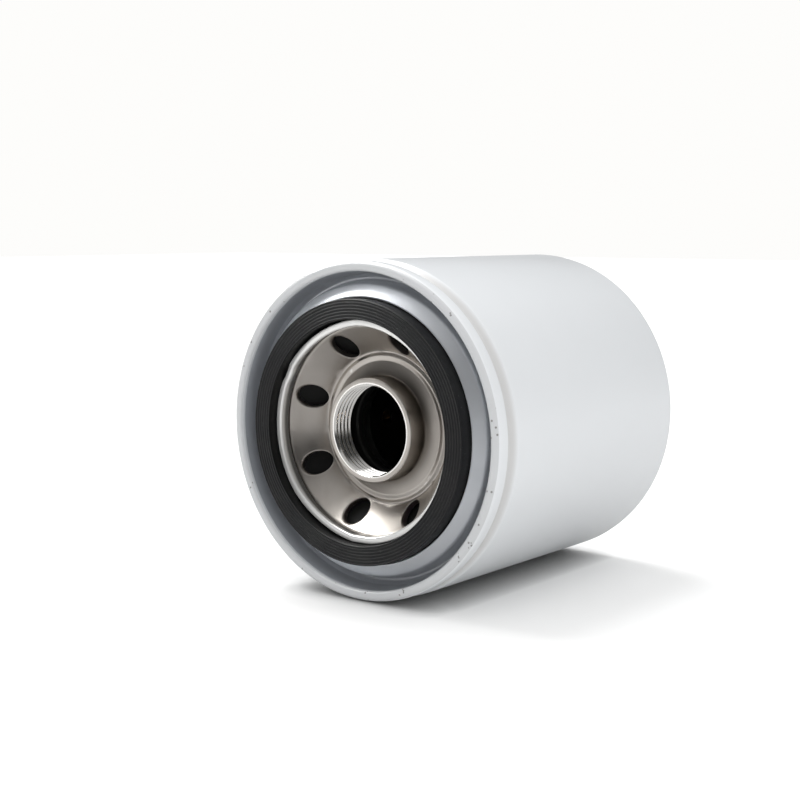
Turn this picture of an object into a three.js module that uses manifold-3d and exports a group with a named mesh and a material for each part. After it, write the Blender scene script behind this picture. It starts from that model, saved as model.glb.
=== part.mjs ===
// Spin-on oil filter lying on its side: millimetres, +Z up, the filter's axis along Y.
// The open end with its sealing gasket faces -Y and the closed end of the can faces +Y.
// The origin is on the axis, halfway between the gasket's face and the closed end.
import * as THREE from "three";
import { mergeVertices } from "three/addons/utils/BufferGeometryUtils.js";
import Module from "manifold-3d";

// Overall size
const overallLength = 95; // gasket's face to closed end
const canRadius = 46.5;
const canWall = 0.7;
const endCorner = 4; // outside radius of the closed end's corner
const endMargin = 16.5; // flat ring round the sunk middle of the closed end
const endSink = 1;
const sides = 32; // flats round the can and the pieces at its open end
const coreSides = 24; // flats round the pieces inside

// Clearances
const gap = 0.3; // between pieces that touch
const slideGap = 0.3; // round a stem in its guide, and between the lifting flap and its collar

// Rolled rim and seam
const rimSetBack = 1.9; // gasket's face to the front of the rim
const rimWidth = 3.15; // outside of the can to the rim's inner edge
const beadInset = 1; // outside of the can to the outside of the rolled bead
const neckInset = 1.3; // outside of the can to the bottom of the groove behind the bead
const beadLength = 5.4; // rim's front to the groove
const neckLength = 1.2;
const shoulderLength = 1.6; // groove to the full radius of the can
const sealantWall = 0.4;
const sealantLength = 1.2;

// Seam plate
const plateWall = 0.8;
const plateSetBack = 1.8; // rim's front to the plate's outer edge
const channelWidth = 7; // rim's inner edge to the gasket's groove
const channelDepth = 7.9; // rim's front to the bottom of the channel
const channelTaper = 0.4;
const channelCorner = 1.5;
const landWidth = 1.7; // flat beside the gasket's groove
const landCorner = 1.6;
const grooveDepth = 1.5;
const lipWidth = 1.7; // hemmed lip inside the gasket
const lipHeight = 2.6; // above the floor of the groove

// Gasket
const gasketWidth = 5.4;
const gasketThickness = 5.1;

// Thread plate
const threadPlateWall = 2.2;
const flangeWidth = 9; // lip to the edge of the flange, behind the gasket's groove
const dishDepth = 8.3;
const hubRadius = 21.1; // bottom of the dish
const ringWidth = 2.4; // raised ring round the hub
const ringHeight = 0.7;
const hubRise = 1.5; // the hub's face rises by this much towards the neck
const threadRadius = 12.2; // crests of the M26x1.5 thread
const neckWall = 2.2;
const neckHeight = 7.7; // above the bottom of the dish
const inletHoleCount = 8;
const inletHoleRadius = 3.2;
const inletCircle = 24.7; // radius of the circle of inlet holes
const inletTurn = -17.5; // degrees from +X towards +Z to the first hole

// Anti-drain valve
const collarClearance = 0.8; // thread to the collar
const collarWidth = 4.8;
const collarThickness = 2.9;
const flapWall = 1.2;
const flapLip = 2.6;

// Filter element
const elementSpace = 4.8; // can's inside to the end caps
const capWall = 0.6;
const capRim = 4.2;
const capCollar = 3.6;
const pottingThickness = 2;
const tubeRadius = 15.5;
const tubeWall = 0.6;
const tubeHoleRadius = 2.2;
const tubeHoleRows = 4;
const tubeHolesPerRow = 6;
const pleatCount = 32;
const paperWall = 0.9;
const pleatTip = 3; // width of a pleat at its outer fold
const pleatRoot = 2.6; // width of a pleat at its inner fold
const clipWall = 0.5;
const clipDepth = 5;
const clippedPleat = 8; // counted from +X towards +Z

// Support spring and its cup
const springLength = 11;
const springWire = 2.2;
const springCupRadius = 19;
const springEndRadius = 15;
const springTurns = 2.5;
const cupWall = 0.8;
const cupRim = 3;

// Bypass valve, inside the closed end of the centre tube
const portRadius = 6.5;
const portMargin = 1.5; // the holes behind the port are wider by this much
const seatWall = 1.1;
const sealWall = 1.2;
const sealLand = 2.5; // the seal overlaps the edge of the port by this much
const poppetWall = 1;
const stemRadius = 2;
const stemPast = 1.2; // the stem stands out of its guide by this much
const cageInset = 1.4; // centre tube's inside to the cage
const cageWall = 0.8;
const windowCount = 4;
const windowWidth = 8;
const windowMargin = 2.5; // cage left whole at both ends of a window
const valveSpringLength = 11.4;
const valveSpringWire = 1;
const valveSpringRadius = 6;
const valveSpringTurns = 5;

// Radii, from the can inwards
const canInside = canRadius - canWall;
const rimInner = canRadius - rimWidth;
const beadOuter = canRadius - beadInset;
const neckRadius = canRadius - neckInset;
const grooveOuter = rimInner - channelWidth;
const gasketOuter = grooveOuter - gap;
const gasketInner = gasketOuter - gasketWidth;
const lipOuter = gasketInner - gap;
const dishRadius = lipOuter - lipWidth;
const neckOuter = threadRadius + neckWall;
const collarInner = threadRadius + collarClearance;
const collarOuter = collarInner + collarWidth;
const capRadius = canInside - elementSpace;
const tubeInside = tubeRadius - tubeWall;
const clipOuter = capRadius - capWall - 2 * gap;
const paperOuter = clipOuter - clipWall - gap;
const paperInner = tubeRadius + 2 * gap;
const pottingInner = tubeRadius + gap;
const pottingOuter = capRadius - capWall - gap;
const sealRadius = portRadius + sealLand;
const cageInside = tubeInside - cageInset - cageWall;
const cupRadius = springCupRadius + springWire / 2 + gap + cupWall;

// Places along the axis, from the gasket's face inwards
const sealFace = -overallLength / 2;
const rimFront = sealFace + rimSetBack;
const plateEdge = rimFront + plateSetBack;
const channelFloor = rimFront + channelDepth;
const neckFront = rimFront + beadLength;
const neckBack = neckFront + neckLength;
const canFront = neckBack + shoulderLength;
const grooveFloor = sealFace + gasketThickness + gap;
const land = grooveFloor - grooveDepth;
const flangeFront = grooveFloor + plateWall + gap;
const flangeBack = flangeFront + threadPlateWall;
const dishFloor = flangeFront + dishDepth;
const hubBack = dishFloor + threadPlateWall + 0.4;
const valveFront = hubBack + gap;
const upperCapFront = valveFront + collarThickness + gap;
const upperPottingFront = upperCapFront + capWall + gap;
const paperFront = upperPottingFront + pottingThickness + gap;

// Places along the axis, from the closed end inwards
const closedEnd = overallLength / 2;
const endInside = closedEnd - endSink - canWall;
const cupBack = endInside - gap - springLength - gap;
const lowerCapBack = cupBack - cupWall - gap;
const elementBack = lowerCapBack - capWall - gap; // back of the lower potting, the tube and the valve's seat
const paperBack = elementBack - pottingThickness - gap;
const seatFront = elementBack - seatWall;
const poppetBack = seatFront - gap - sealWall - gap;
const poppetFront = poppetBack - poppetWall;
const cageFloor = poppetFront - gap - valveSpringLength - gap;

const wasm = await Module();
wasm.setup();

const at = (radius, y) => new THREE.Vector2(radius, y);

function toSolid(geometry) {
  geometry.deleteAttribute("normal");
  geometry.deleteAttribute("uv");
  const merged = mergeVertices(geometry, 1e-4);
  const vertProperties = merged.attributes.position.array;
  const triVerts = new Uint32Array(merged.index.array);
  return new wasm.Manifold(new wasm.Mesh({ numProp: 3, vertProperties, triVerts }));
}

function toGeometry(solid) {
  const mesh = solid.getMesh();
  const geometry = new THREE.BufferGeometry();
  geometry.setAttribute("position", new THREE.BufferAttribute(mesh.vertProperties, 3));
  geometry.setIndex(new THREE.BufferAttribute(mesh.triVerts, 1));
  return geometry;
}

function cut(geometry, tools) {
  const solid = tools.reduce((body, tool) => body.subtract(toSolid(tool)), toSolid(geometry));
  return toGeometry(solid);
}

// Turns an outline of (radius, y) points about the Y axis. Its radii are those of the flats, so
// nested pieces keep their clearance all round, and one flat faces straight down. An outline
// that starts and ends on the axis stays open there, and any other is closed on itself.
function turned(outline, count = coreSides) {
  const corner = 1 / Math.cos(Math.PI / count);
  const points = outline.map((p) => at(p.x * corner, p.y));
  if (THREE.ShapeUtils.area(points) < 0) points.reverse();
  const onAxis = points[0].x === 0 && points[points.length - 1].x === 0;
  if (!onAxis) points.push(points[0].clone());
  return new THREE.LatheGeometry(points, count, Math.PI / count);
}

function ring(inner, outer, front, back, count) {
  return turned([at(inner, front), at(outer, front), at(outer, back), at(inner, back)], count);
}

// Outline of a sheet of even thickness: the line, and the same line set over to its left by the
// wall, or to its right where the wall is negative.
function sheet(line, wall) {
  const normal = (a, b) => at(a.y - b.y, b.x - a.x).normalize();
  const last = line.length - 1;
  const setOver = line.map((p, i) => {
    const before = i > 0 ? normal(line[i - 1], p) : normal(p, line[i + 1]);
    const after = i < last ? normal(p, line[i + 1]) : before;
    const reach = wall / (1 + before.dot(after));
    return before.clone().add(after).multiplyScalar(reach).add(p);
  });
  return [...line, ...setOver.reverse()];
}

// Points along an arc, in degrees from the outward radius towards +Y.
function arc(radius, y, size, from, to, steps) {
  return Array.from({ length: steps + 1 }, (_, i) => {
    const angle = THREE.MathUtils.degToRad(from + ((to - from) * i) / steps);
    return at(radius + size * Math.cos(angle), y + size * Math.sin(angle));
  });
}

// Flat shape in the plane across the axis, drawn as (x, z), drawn out along Y.
function drawnOut(shape, front, back) {
  const geometry = new THREE.ExtrudeGeometry(shape, { depth: back - front, bevelEnabled: false });
  return geometry.rotateX(Math.PI / 2).translate(0, back, 0);
}

class Helix extends THREE.Curve {
  constructor(startRadius, endRadius, front, back, turns) {
    super();
    Object.assign(this, { startRadius, endRadius, front, back, turns });
  }

  getPoint(t, target = new THREE.Vector3()) {
    const angle = 2 * Math.PI * this.turns * t;
    const radius = THREE.MathUtils.lerp(this.startRadius, this.endRadius, t);
    const y = THREE.MathUtils.lerp(this.front, this.back, t);
    return target.set(radius * Math.cos(angle), y, radius * Math.sin(angle));
  }
}

function coil(startRadius, endRadius, front, back, turns, wire, stepsPerTurn) {
  const path = new Helix(startRadius, endRadius, front + wire / 2, back - wire / 2, turns);
  const section = new THREE.Shape(arc(0, 0, wire / 2, 0, 300, 5));
  const steps = turns * stepsPerTurn;
  return new THREE.ExtrudeGeometry(section, { steps, extrudePath: path, bevelEnabled: false });
}

// Drawn can: closed end with a sunk middle, groove and rolled rim at the open end.
function can() {
  const sunk = canRadius - endMargin;
  const crown = (beadOuter - rimInner) / 2;
  const outside = [
    at(0, closedEnd - endSink),
    at(sunk - endSink, closedEnd - endSink),
    at(sunk, closedEnd),
    ...arc(canRadius - endCorner, closedEnd - endCorner, endCorner, 90, 0, 4),
    at(canRadius, canFront),
    at(neckRadius, neckBack),
    at(neckRadius, neckFront),
    at(beadOuter, neckFront - neckLength),
    ...arc(rimInner + crown, rimFront + crown, crown, 0, -180, 4),
  ];
  return turned(sheet(outside, -canWall), sides);
}

// Pressed plate that closes the can: seam edge, channel, gasket's groove and hemmed lip.
function seamPlate() {
  const wall = rimInner - gap;
  const landOuter = grooveOuter + landWidth;
  const front = [
    at(beadOuter - canWall - gap, plateEdge),
    at(wall, plateEdge),
    at(wall - channelTaper, channelFloor - channelCorner),
    at(wall - channelTaper - 0.4 * channelCorner, channelFloor - 0.2 * channelCorner),
    at(wall - channelTaper - channelCorner, channelFloor),
    at(landOuter + landCorner + 0.3 * channelCorner, channelFloor - channelCorner),
    ...arc(landOuter, land + landCorner, landCorner, 0, -90, 3),
    at(grooveOuter, land),
    at(grooveOuter, grooveFloor),
    at(lipOuter, grooveFloor),
  ];
  const floorBack = grooveFloor + plateWall;
  const outline = sheet(front, -plateWall);
  const back = outline.slice(front.length + 1);
  const lipTop = grooveFloor - lipHeight;
  const lip = [
    at(lipOuter, lipTop + 0.5),
    at(lipOuter - 0.5, lipTop),
    at(dishRadius + 0.5, lipTop),
    at(dishRadius, lipTop + 0.5),
    at(dishRadius, floorBack),
  ];
  return turned([...front, ...lip, ...back], sides);
}

function seamSealant() {
  const outer = beadOuter - canWall - gap;
  const front = plateEdge + plateWall + gap;
  return ring(outer - sealantWall, outer, front, front + sealantLength, sides);
}

function gasket() {
  return ring(gasketInner, gasketOuter, sealFace, sealFace + gasketThickness, sides);
}

// Radius of the back of the dish's cone at a place along the axis, set off by a thickness.
function coneRadius(y, thickness) {
  const slope = (dishRadius - hubRadius) / dishDepth;
  return dishRadius - (y - flangeFront) * slope + thickness * Math.hypot(1, slope);
}

// Thick pressed plate: flange, dish with inlet holes, raised ring, hub and threaded neck.
function threadPlate() {
  const neckEnd = dishFloor - neckHeight;
  const ringTop = dishFloor - ringHeight;
  const outline = [
    at(dishRadius + flangeWidth, flangeBack),
    at(dishRadius + flangeWidth, flangeFront),
    at(dishRadius, flangeFront),
    at(hubRadius, dishFloor),
    at(hubRadius - ringWidth / 3, ringTop),
    at(hubRadius - (2 * ringWidth) / 3, ringTop),
    at(hubRadius - ringWidth, dishFloor),
    at(neckOuter + 0.5, dishFloor - hubRise),
    at(neckOuter, dishFloor - hubRise - 0.5),
    at(neckOuter, neckEnd + 0.3),
    at(neckOuter - 0.3, neckEnd),
    at(threadRadius + 0.6, neckEnd),
    at(threadRadius, neckEnd + 0.6),
    at(threadRadius, hubBack),
    at(coneRadius(hubBack, threadPlateWall), hubBack),
    at(coneRadius(flangeBack, threadPlateWall), flangeBack),
  ];
  const holes = Array.from({ length: inletHoleCount }, (_, i) => {
    const angle = THREE.MathUtils.degToRad(inletTurn + (360 * i) / inletHoleCount);
    const hole = new THREE.CylinderGeometry(inletHoleRadius, inletHoleRadius, 3 * dishDepth, 10);
    return hole.translate(inletCircle * Math.cos(angle), dishFloor, inletCircle * Math.sin(angle));
  });
  return cut(turned(outline, sides), holes);
}

function antiDrainCollar() {
  return ring(collarInner, collarOuter, valveFront, valveFront + collarThickness, sides);
}

// Rubber flap that lies along the back of the dish and shuts the inlet holes.
function antiDrainFlap() {
  const lipFront = flangeBack + gap;
  const front = [
    at(collarOuter + slideGap, valveFront),
    at(coneRadius(valveFront, threadPlateWall + gap), valveFront),
    at(coneRadius(lipFront, threadPlateWall + gap), lipFront),
    at(coneRadius(lipFront, threadPlateWall + gap) + flapLip, lipFront),
  ];
  return turned(sheet(front, flapWall), sides);
}

function upperEndCap() {
  const hole = tubeInside - gap - capWall;
  const front = [
    at(hole, upperCapFront + capCollar),
    at(hole, upperCapFront),
    at(capRadius, upperCapFront),
    at(capRadius, upperCapFront + capRim),
  ];
  return turned(sheet(front, capWall));
}

function lowerEndCap() {
  const back = [
    at(portRadius + portMargin, lowerCapBack),
    at(capRadius, lowerCapBack),
    at(capRadius, lowerCapBack - capRim),
  ];
  return turned(sheet(back, -capWall));
}

function centreTube() {
  const length = elementBack - upperPottingFront;
  const tools = [];
  for (let row = 0; row < tubeHoleRows; row++) {
    const y = upperPottingFront + (length * (row + 1)) / (tubeHoleRows + 1);
    for (let i = 0; i < tubeHolesPerRow / 2; i++) {
      const hole = new THREE.CylinderGeometry(tubeHoleRadius, tubeHoleRadius, 3 * tubeRadius, 6);
      const turn = (Math.PI * (2 * i + (row % 2))) / tubeHolesPerRow;
      tools.push(hole.rotateZ(Math.PI / 2).rotateY(turn).translate(0, y, 0));
    }
  }
  return cut(ring(tubeInside, tubeRadius, upperPottingFront, elementBack), tools);
}

// Zigzag band of paper: each pleat is a flat fold outside, a flat fold inside and two walls.
function pleatedMedia() {
  const pitch = (2 * Math.PI) / pleatCount;
  const folded = (outer, outerWidth, inner, innerWidth) => {
    const points = [];
    for (let i = 0; i < pleatCount; i++) {
      const tip = outerWidth / 2 / outer;
      const root = pitch / 2 - innerWidth / 2 / inner;
      for (const [radius, turn] of [[outer, -tip], [outer, tip], [inner, root], [inner, pitch - root]]) {
        const angle = i * pitch + turn;
        points.push(at(radius * Math.cos(angle), radius * Math.sin(angle)));
      }
    }
    return points;
  };
  const outerSide = folded(paperOuter, pleatTip, paperInner + paperWall, pleatRoot - 2 * paperWall);
  const innerSide = folded(paperOuter - paperWall, pleatTip - 2 * paperWall, paperInner, pleatRoot);
  const shape = new THREE.Shape(outerSide);
  shape.holes.push(new THREE.Path(innerSide));
  return drawnOut(shape, paperFront, paperBack);
}

// Steel channel that holds the paper's two ends together over one pleat.
function pleatClip() {
  const half = pleatTip / 2 + gap;
  const inside = paperOuter + gap;
  const line = [
    at(inside - clipDepth, -half),
    at(inside, -half),
    at(inside, half),
    at(inside - clipDepth, half),
  ];
  const geometry = drawnOut(new THREE.Shape(sheet(line, -clipWall)), paperFront, paperBack);
  return geometry.rotateY((-2 * Math.PI * clippedPleat) / pleatCount);
}

function bypassSeat() {
  return ring(portRadius, tubeInside - gap, seatFront, elementBack);
}

function bypassSeal() {
  return ring(stemRadius, sealRadius, seatFront - gap - sealWall, seatFront - gap);
}

function bypassPoppet() {
  const stemEnd = cageFloor - cageWall - stemPast;
  return turned([
    at(0, poppetBack),
    at(sealRadius, poppetBack),
    at(sealRadius, poppetFront),
    at(stemRadius, poppetFront),
    at(stemRadius, stemEnd),
    at(0, stemEnd),
  ]);
}

function bypassSpring() {
  const back = poppetFront - gap;
  const radius = valveSpringRadius;
  return coil(radius, radius, back - valveSpringLength, back, valveSpringTurns, valveSpringWire, 10);
}

// Cup with windows that holds the valve's spring and guides its stem.
function bypassCage() {
  const top = seatFront - gap;
  const inside = [at(stemRadius + slideGap, cageFloor), at(cageInside, cageFloor), at(cageInside, top)];
  const length = top - cageFloor - 2 * windowMargin;
  const windows = Array.from({ length: windowCount / 2 }, (_, i) => {
    const box = new THREE.BoxGeometry(4 * cageInside, length, windowWidth);
    return box.rotateY((2 * Math.PI * i) / windowCount).translate(0, (top + cageFloor) / 2, 0);
  });
  return cut(turned(sheet(inside, -cageWall)), windows);
}

function springCup() {
  const back = [
    at(portRadius + portMargin, cupBack),
    at(cupRadius - cupWall, cupBack),
    at(cupRadius - cupWall, cupBack + cupRim),
  ];
  return turned(sheet(back, -cupWall));
}

function supportSpring() {
  const back = endInside - gap;
  return coil(springCupRadius, springEndRadius, back - springLength, back, springTurns, springWire, 14);
}

function finish(color, roughness, metalness) {
  return new THREE.MeshStandardMaterial({ color, roughness, metalness });
}

const whitePaint = finish(0xe6e8ea, 0.35, 0);
const greyPaint = finish(0x8a9098, 0.4, 0);
const nickelSteel = finish(0xa49f98, 0.3, 1);
const plainSteel = finish(0x9a9a98, 0.4, 1);
const springSteel = finish(0x6c6c70, 0.4, 1);
const blackRubber = finish(0x2e2f30, 0.6, 0);
const compound = finish(0x5a4a3a, 0.7, 0);
const adhesive = finish(0x8c8a80, 0.7, 0);
const paper = finish(0xc9a66b, 0.9, 0);

const pieces = [
  ["can", can(), whitePaint],
  ["seam_plate", seamPlate(), greyPaint],
  ["seam_sealant", seamSealant(), compound],
  ["thread_plate", threadPlate(), nickelSteel],
  ["sealing_gasket", gasket(), blackRubber],
  ["anti_drain_collar", antiDrainCollar(), blackRubber],
  ["anti_drain_flap", antiDrainFlap(), blackRubber],
  ["upper_end_cap", upperEndCap(), plainSteel],
  ["upper_potting", ring(pottingInner, pottingOuter, upperPottingFront, paperFront - gap), adhesive],
  ["pleated_media", pleatedMedia(), paper],
  ["pleat_clip", pleatClip(), plainSteel],
  ["centre_tube", centreTube(), plainSteel],
  ["lower_potting", ring(pottingInner, pottingOuter, paperBack + gap, elementBack), adhesive],
  ["lower_end_cap", lowerEndCap(), plainSteel],
  ["bypass_seat", bypassSeat(), plainSteel],
  ["bypass_seal", bypassSeal(), blackRubber],
  ["bypass_poppet", bypassPoppet(), plainSteel],
  ["bypass_spring", bypassSpring(), springSteel],
  ["bypass_cage", bypassCage(), plainSteel],
  ["spring_cup", springCup(), plainSteel],
  ["support_spring", supportSpring(), springSteel],
];

const filter = new THREE.Group();
for (const [name, geometry, material] of pieces) {
  const mesh = new THREE.Mesh(geometry, material);
  mesh.name = name;
  filter.add(mesh);
}

export default filter;
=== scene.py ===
import math

import bmesh
import bpy
import numpy as np
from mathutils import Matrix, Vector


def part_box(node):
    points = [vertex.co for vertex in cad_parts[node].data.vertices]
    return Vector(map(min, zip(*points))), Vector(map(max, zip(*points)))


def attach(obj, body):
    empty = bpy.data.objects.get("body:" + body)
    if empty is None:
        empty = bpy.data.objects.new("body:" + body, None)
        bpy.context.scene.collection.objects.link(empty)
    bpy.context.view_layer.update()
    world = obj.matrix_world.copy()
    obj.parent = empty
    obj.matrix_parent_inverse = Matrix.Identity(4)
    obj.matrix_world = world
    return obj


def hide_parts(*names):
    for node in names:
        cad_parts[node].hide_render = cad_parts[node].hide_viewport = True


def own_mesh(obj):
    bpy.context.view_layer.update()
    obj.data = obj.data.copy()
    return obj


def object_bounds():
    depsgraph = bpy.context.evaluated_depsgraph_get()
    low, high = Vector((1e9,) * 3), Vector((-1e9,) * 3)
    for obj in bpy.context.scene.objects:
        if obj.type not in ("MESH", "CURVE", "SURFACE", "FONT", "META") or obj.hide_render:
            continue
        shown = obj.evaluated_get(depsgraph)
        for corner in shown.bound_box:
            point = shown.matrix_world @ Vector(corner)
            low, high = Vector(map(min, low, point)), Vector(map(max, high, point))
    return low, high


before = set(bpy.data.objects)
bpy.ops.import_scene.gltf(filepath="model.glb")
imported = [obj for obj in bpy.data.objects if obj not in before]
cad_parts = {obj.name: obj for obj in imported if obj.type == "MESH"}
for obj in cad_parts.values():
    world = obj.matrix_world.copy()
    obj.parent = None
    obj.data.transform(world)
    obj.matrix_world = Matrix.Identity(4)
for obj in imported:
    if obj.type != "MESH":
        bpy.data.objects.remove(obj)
cadLow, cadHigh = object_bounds()
mm = 0.001
scene = bpy.context.scene


studio = {
    "cameraPlace": (248.35, -342.58, 54.65),
    "cameraDown": 6.75,
    "cameraTurn": 38.19,
    "lens": 65.3,
    "sensor": 36.0,
    "clip": (0.01, 50),
    "floorSize": 8.0,                      # metres across
    "floorColour": (0.93, 0.93, 0.925),
    "floorRoughness": 0.8,
    "floorSpecular": 0.1,
    "floorBounce": 0.85,                   # share of the floor's colour that lights the underside
    "floorMirrored": (0.78, 0.35),         # brightness of the floor that metal mirrors, left and right
    "floorTurn": (-0.20, 0.02),            # between these places along X the one becomes the other
    "nearShade": (0.008, 0.28),            # its reach in metres, and the brightness left in full shade
    "shadeSamples": 3,
    "ambient": (0.16, -0.12, 0.24, 0.82),  # growth of the light towards +X, +Y and +Z, and its middle
    "backdrop": (0.985, 0.98, 0.965),
    "sunFrom": (-0.50, 0.12, 0.85),
    "sunStrength": 1.7,
    "sunAngle": 34.0,
    "boxes": {  # name: (place and aim in metres, width, height, watts, colour)
        "overheadBox": ((-0.62, -0.04, 0.78), (0, 0, 0), 0.80, 0.80, 24.0, (1.0, 0.995, 0.98)),
        "plateBox": ((-0.55, -0.52, 0.60), (0, 0, 0), 0.50, 0.50, 0.75, (0.97, 0.985, 1.0)),
        "frontFill": ((0.95, -0.55, 0.45), (0, 0, 0), 0.6, 0.6, 1.3, (0.96, 0.98, 1.0)),
    },
    "mirroredOnly": ("overheadBox", "plateBox"),
    "mirrored": (  # height of the direction from 0 (down) to 1 (up), and brightness there
        (0.0, 0.45), (0.50, 0.40), (0.54, 0.16), (0.58, 0.035), (0.77, 0.05), (0.83, 0.38), (1.0, 0.5),
    ),
}


def feed(made, links):
    # Each link is an input and what feeds it, a socket or a plain value.
    for label, source in links:
        if isinstance(source, bpy.types.NodeSocket):
            made.id_data.links.new(source, made.inputs[label])
        else:
            made.inputs[label].default_value = source
    return made


def node(tree, kind, links=(), **values):
    made = tree.nodes.new("ShaderNode" + kind)
    for label, value in values.items():
        setattr(made, label, value)
    return feed(made, links)


def sums(operation, first, second=0.0, third=0.0):
    # The first is a socket, whose tree the new node joins. So it is in the helpers that follow.
    fed = [(0, first), (1, second), (2, third)]
    return node(first.id_data, "Math", fed, operation=operation).outputs[0]


def times(first, second):
    return sums("MULTIPLY", first, second)


def mapped(value, start, full, low=0.0, high=1.0, kind="LINEAR"):
    # Runs from low at the start to high at the full value, which may be the lower of the two.
    fed = [("Value", value), ("From Min", start), ("From Max", full), ("To Min", low), ("To Max", high)]
    return node(value.id_data, "MapRange", fed, interpolation_type=kind).outputs[0]


def softStep(value, start, full):
    return mapped(value, start, full, kind="SMOOTHSTEP")


def between(share, low, high):
    return mapped(share, 0, 1, low, high)


def colourMix(share, first, second):
    # First colour where the share is 0, second where it is 1. A colour may be a socket.
    fed = [("Factor", share)]
    for place, colour in ((6, first), (7, second)):
        fed.append((place, colour if isinstance(colour, bpy.types.NodeSocket) else (*colour, 1)))
    return node(share.id_data, "Mix", fed, data_type="RGBA").outputs[2]


def layered(look, *layers):
    # The look's own colour, and over it the colour that each (share, name) asks for.
    colour = look["colour"]
    for share, name in layers:
        colour = colourMix(share, colour, look[name])
    return colour


def ownPlace(tree):
    return node(tree, "TexCoord").outputs["Object"]


def axes(tree):
    return node(tree, "SeparateXYZ", [(0, ownPlace(tree))]).outputs


def newMaterial(name):
    material = bpy.data.materials.new(name)
    material.use_nodes = True
    return material, material.node_tree


def dress(material, colour, roughness, relief=(), *more):
    # Relief is layers of (height, strength, distance in millimetres), each laid over the one before.
    tree = material.node_tree
    normal = []
    for height, strength, distance in relief:
        fed = [("Height", height), ("Strength", strength), ("Distance", distance * mm), *normal]
        normal = [("Normal", node(tree, "Bump", fed).outputs[0])]
    fed = [("Base Color", colour), ("Roughness", roughness), *normal, *more]
    feed(tree.nodes["Principled BSDF"], fed)
    return material


def addObject(name, data):
    made = bpy.data.objects.new(name, data)
    scene.collection.objects.link(made)
    return made


def makeCamera():
    data = bpy.data.cameras.new("camera")
    camera = addObject("camera", data)
    camera.location = [v * mm for v in studio["cameraPlace"]]
    down, turn = math.radians(studio["cameraDown"]), math.radians(studio["cameraTurn"])
    camera.rotation_euler = (math.pi / 2 - down, 0, turn)
    data.lens, data.sensor_width = studio["lens"], studio["sensor"]
    data.clip_start, data.clip_end = studio["clip"]
    scene.camera = camera


def makeFloor():
    half = studio["floorSize"] / 2
    corners = np.array([[-half, -half], [half, -half], [half, half], [-half, half]])
    places = np.column_stack([corners, np.full(4, cadLow.z)])
    mesh = bpy.data.meshes.new("floor")
    mesh.from_pydata(places.tolist(), [], [(0, 1, 2, 3)])
    floor = addObject("floor", mesh)
    # Metal mirrors a dimmer floor than the camera sees, and a painted contact shadow darkens the floor
    # close to the filter.
    material, tree = newMaterial("floorPaper")
    paper = studio["floorColour"]
    path = node(tree, "LightPath").outputs
    reach, left = studio["nearShade"]
    around = node(tree, "AmbientOcclusion", [("Distance", reach)], samples=studio["shadeSamples"])
    seen = colourMix(around.outputs["AO"], [v * left for v in paper], paper)
    bounced = colourMix(path["Is Diffuse Ray"], seen, [v * studio["floorBounce"] for v in paper])
    mirrored = mapped(axes(tree)["X"], *studio["floorTurn"], *studio["floorMirrored"])
    colour = colourMix(path["Is Glossy Ray"], bounced, mirrored)
    dress(material, colour, studio["floorRoughness"], (), ("Specular IOR Level", studio["floorSpecular"]))
    mesh.materials.append(material)


def addLamp(name, kind, place, target):
    data = bpy.data.lights.new(name, kind)
    lamp = addObject(name, data)
    lamp.location = place
    aim = np.array(target) - np.array(place)
    pitch = math.atan2(math.hypot(aim[0], aim[1]), -aim[2])
    lamp.rotation_euler = (pitch, 0, math.atan2(aim[1], aim[0]) - math.pi / 2)
    return lamp, data


def makeLights():
    # One broad soft light from above for shade, and soft boxes for what the metal mirrors.
    sun, data = addLamp("softSun", "SUN", studio["sunFrom"], (0, 0, 0))
    data.energy, data.angle = studio["sunStrength"], math.radians(studio["sunAngle"])
    sun.visible_glossy = False
    for name, (place, target, width, height, watts, colour) in studio["boxes"].items():
        lamp, data = addLamp(name, "AREA", place, target)
        data.shape, data.size, data.size_y = "RECTANGLE", width, height
        data.energy, data.color = watts, colour
        lamp.visible_diffuse = name not in studio["mirroredOnly"]
        lamp.visible_glossy = name in studio["mirroredOnly"]


def makeWorld():
    # Even light all round, a plain backdrop where the camera looks, and for what metal mirrors a
    # brightness by height: pale near the floor, dark above it and dim overhead.
    world = bpy.data.worlds.new("studioWorld")
    scene.world = world
    world.use_nodes = True
    tree = world.node_tree
    tree.nodes.clear()
    where = node(tree, "TexCoord").outputs["Generated"]
    height = node(tree, "SeparateXYZ", [(0, where)]).outputs["Z"]
    ramp = node(tree, "ValToRGB", [("Fac", sums("MULTIPLY_ADD", height, 0.5, 0.5))])
    stops = ramp.color_ramp.elements
    while len(stops) < len(studio["mirrored"]):
        stops.new(0.5)
    for stop, (place, tone) in zip(stops, studio["mirrored"]):
        stop.position = place
        stop.color = (tone, tone, tone, 1)
    *growth, middle = studio["ambient"]
    leaning = node(tree, "VectorMath", [(0, where), (1, growth)], operation="DOT_PRODUCT")
    strength = sums("ADD", leaning.outputs["Value"], middle)
    last = node(tree, "Background", [("Color", (1, 1, 1, 1)), ("Strength", strength)])
    mirrored = node(tree, "Background", [("Color", ramp.outputs["Color"])])
    backdrop = node(tree, "Background", [("Color", (*studio["backdrop"], 1))])
    path = node(tree, "LightPath").outputs
    for kind, shade in (("Is Glossy Ray", mirrored), ("Is Camera Ray", backdrop)):
        last = node(tree, "MixShader", [(0, path[kind]), (1, last.outputs[0]), (2, shade.outputs[0])])
    node(tree, "OutputWorld", [("Surface", last.outputs[0])])


makeCamera()
makeFloor()
makeLights()
makeWorld()
scene.view_settings.view_transform = "Standard"
print("studio: camera, floor and", len(studio["boxes"]), "lights")


def span(name):
    # Front, back and outer radius of a frame node, in millimetres.
    low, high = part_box(name)
    return low.y / mm, high.y / mm, high.x / mm


def cadBand(name, depth):
    # A place along Y in metres, a depth in millimetres behind the node's front.
    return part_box(name)[0].y + depth * mm


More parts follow.
